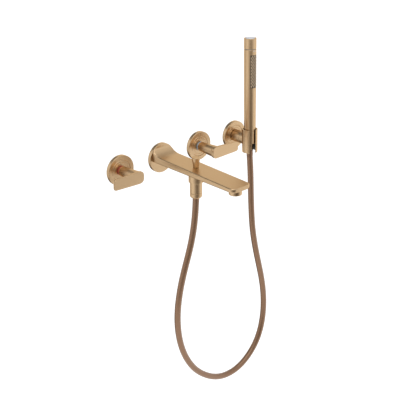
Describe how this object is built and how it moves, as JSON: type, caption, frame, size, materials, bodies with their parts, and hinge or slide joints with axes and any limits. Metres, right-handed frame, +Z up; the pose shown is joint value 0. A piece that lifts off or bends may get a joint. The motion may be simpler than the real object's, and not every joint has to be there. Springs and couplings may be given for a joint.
{
  "type": "wall mounted bath faucet",
  "caption": "Wall mounted bath faucet in brushed gold: lever handles, flat spout with pull-up diverter, and a stick hand shower on a hose in a slotted holder.",
  "frame": {"origin": "centre of the spout's rosette on the wall plane", "axes": "+X along the wall to the right as the user faces it, +Y into the wall, +Z up"},
  "size_m": [0.399, 0.2422, 0.7356],
  "materials": {
    "brushed_gold": "brushed champagne gold plating",
    "bare_brass": "machined, unplated",
    "steel": "stainless, machined",
    "ceramic": "lapped ceramic",
    "black_rubber": "matt moulded rubber",
    "nozzle_rubber": "matt silicone",
    "red_plastic": "satin moulded",
    "blue_plastic": "satin moulded",
    "grey_plastic": "moulded",
    "pale_plastic": "moulded",
    "hose_sheath": "metal-effect sheath with fine winding"
  },
  "bodies": {
    "root": {"aerator_housing": "brushed_gold", "aerator_insert": "grey_plastic", "aerator_seal": "black_rubber", "check_valve": "grey_plastic", "cold_fixed_disc": "ceramic", "cold_gasket": "black_rubber", "cold_rosette": "brushed_gold", "cold_valve_body": "bare_brass", "diverter_bush": "bare_brass", "fixing_plate": "steel", "holder_arm": "brushed_gold", "holder_gasket": "black_rubber", "holder_grub_screw": "steel", "holder_rosette": "brushed_gold", "holder_sleeve": "brushed_gold", "hot_fixed_disc": "ceramic", "hot_gasket": "black_rubber", "hot_rosette": "brushed_gold", "hot_valve_body": "bare_brass", "inlet_nipple": "bare_brass", "nipple_seal": "black_rubber", "outlet_collar": "brushed_gold", "outlet_hose_nut": "brushed_gold", "outlet_hose_tail": "steel", "outlet_hose_washer": "black_rubber", "outlet_housing": "brushed_gold", "shower_hose": "hose_sheath", "sleeve_liner": "black_rubber", "spout_body": "brushed_gold", "spout_gasket": "black_rubber", "wall_screw_1": "steel", "wall_screw_2": "steel"},
    "hot_lever": {"hot_handle": "brushed_gold", "hot_colour_ring": "red_plastic", "hot_grub_screw": "steel", "hot_spindle": "bare_brass", "hot_moving_disc": "ceramic"},
    "cold_lever": {"cold_handle": "brushed_gold", "cold_colour_ring": "blue_plastic", "cold_grub_screw": "steel", "cold_spindle": "bare_brass", "cold_moving_disc": "ceramic"},
    "diverter": {"diverter_knob": "brushed_gold", "diverter_rod": "steel", "diverter_valve": "bare_brass", "diverter_seal": "black_rubber"},
    "hose_end": {"handset_hose_nut": "brushed_gold", "handset_hose_washer": "black_rubber", "handset_hose_tail": "steel"},
    "handset": {"handset_body": "brushed_gold", "handset_head": "brushed_gold", "handset_seam_ring": "grey_plastic", "handset_waterway": "grey_plastic", "handset_inlet": "bare_brass", "inlet_filter": "steel", "nozzle_mat": "nozzle_rubber", "nozzle_plate": "grey_plastic"},
    "button": {"spray_button": "pale_plastic"}
  },
  "joints": [
    {"name": "hot_turn", "type": "hinge", "parent": "root", "child": "hot_lever", "pos_m": [-0.1, 0, 0], "axis": [0, -1, 0], "range_deg": [0, 90]},
    {"name": "cold_turn", "type": "hinge", "parent": "root", "child": "cold_lever", "pos_m": [0.1, 0, 0], "axis": [0, 1, 0], "range_deg": [0, 90]},
    {"name": "diverter_pull", "type": "slide", "parent": "root", "child": "diverter", "axis": [0, 0, 1], "range_m": [0, 0.008]},
    {"name": "handset_lift", "type": "slide", "parent": "root", "child": "hose_end", "axis": [0, 0.0262, 0.9997], "range_m": [0, 0.035]},
    {"name": "handset_swivel", "type": "hinge", "parent": "hose_end", "child": "handset", "pos_m": [0.2, -0.0505, 0.01], "axis": [0, 0.0262, 0.9997], "continuous": true},
    {"name": "button_press", "type": "slide", "parent": "handset", "child": "button", "axis": [0, -0.0262, -0.9997], "range_m": [0, 0.0015], "stiffness_N_per_m": 400, "springref_m": -0.001}
  ]
}
